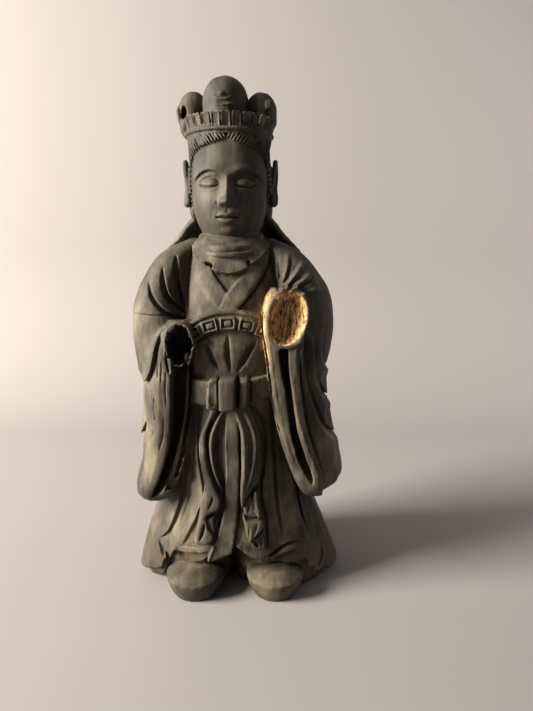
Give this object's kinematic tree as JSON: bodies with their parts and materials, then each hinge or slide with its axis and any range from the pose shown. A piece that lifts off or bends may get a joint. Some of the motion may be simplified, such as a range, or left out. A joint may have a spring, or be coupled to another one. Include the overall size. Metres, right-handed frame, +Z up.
{
  "type": "standing deity statue",
  "caption": "Carved wooden standing deity in a lobed crown, long court robes and hanging sleeves, with both hands lost; stands on its flat underside.",
  "frame": {"origin": "middle of the footprint, on the surface the figure stands on", "axes": "+Z up, the figure's front faces -Y, its right hand side is at -X"},
  "size_m": [0.1952, 0.129, 0.45],
  "materials": {
    "carved_wood": "satin"
  },
  "bodies": {
    "root": {"deity_statue": "carved_wood"}
  },
  "joints": []
}
